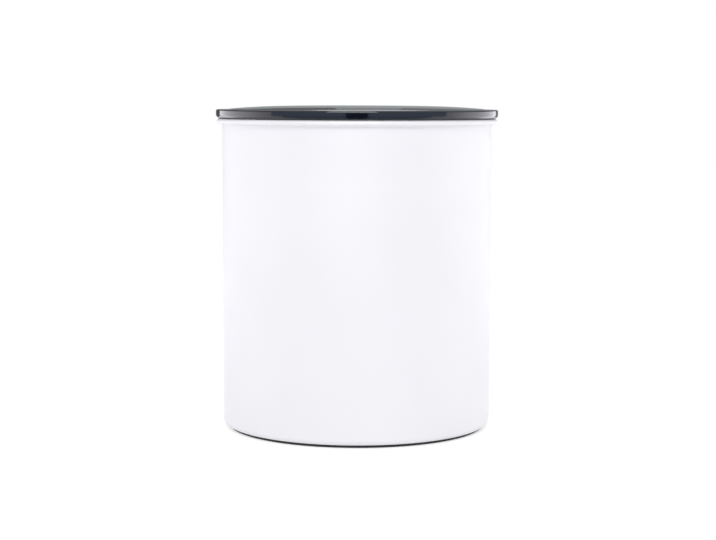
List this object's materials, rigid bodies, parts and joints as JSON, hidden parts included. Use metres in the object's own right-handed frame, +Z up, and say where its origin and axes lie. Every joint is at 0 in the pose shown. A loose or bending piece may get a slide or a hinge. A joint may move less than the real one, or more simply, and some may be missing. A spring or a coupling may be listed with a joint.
{
  "type": "coffee canister with valve",
  "caption": "Tall round coated-steel coffee canister with a lift-off outer lid and a push-down inner lid whose folding handle opens a vent valve.",
  "frame": {"origin": "on the table, on the can's axis, at the foot ring's underside", "axes": "+Z up along the can's axis, -Y towards the viewer, +X along the handle's hinge to the viewer's right"},
  "size_m": [0.1778, 0.1778, 0.2032],
  "materials": {
    "white_coat": "satin",
    "foot_rubber": "matte",
    "gloss_black": "gloss",
    "satin_black": "satin",
    "handle_black": "satin",
    "silicone": "matte",
    "natural_acetal": "satin",
    "spring_steel": "bright drawn wire"
  },
  "bodies": {
    "can": {"can_shell": "white_coat", "foot_ring": "foot_rubber"},
    "lid": {"outer_lid": "gloss_black"},
    "plunger": {"plunger_base": "satin_black", "plunger_cover": "satin_black", "wiper_seal": "silicone", "valve_housing": "satin_black", "housing_cap": "satin_black", "valve_spring": "spring_steel"},
    "bail": {"handle": "handle_black", "cam_shaft_left": "natural_acetal", "cam_shaft_right": "natural_acetal"},
    "valve": {"valve_stem": "natural_acetal", "valve_disc": "natural_acetal", "valve_seal": "silicone"}
  },
  "joints": [
    {"name": "lid_lift", "type": "slide", "parent": "can", "child": "lid", "axis": [0, 0, 1], "range_m": [0, 0.12]},
    {"name": "plunger_slide", "type": "slide", "parent": "can", "child": "plunger", "axis": [0, 0, 1], "range_m": [-0.1335, 0]},
    {"name": "handle_fold", "type": "hinge", "parent": "plunger", "child": "bail", "pos_m": [0, 0, 0.159], "axis": [1, 0, 0], "range_deg": [0, 90]},
    {"name": "valve_open", "type": "slide", "parent": "plunger", "child": "valve", "axis": [0, 0, 1], "range_m": [0, 0.00212], "deforming": ["valve_spring"]}
  ],
  "couplings": [
    {"joint": "valve_open", "follows": "handle_fold", "m_per_rad": 0.0013495}
  ]
}
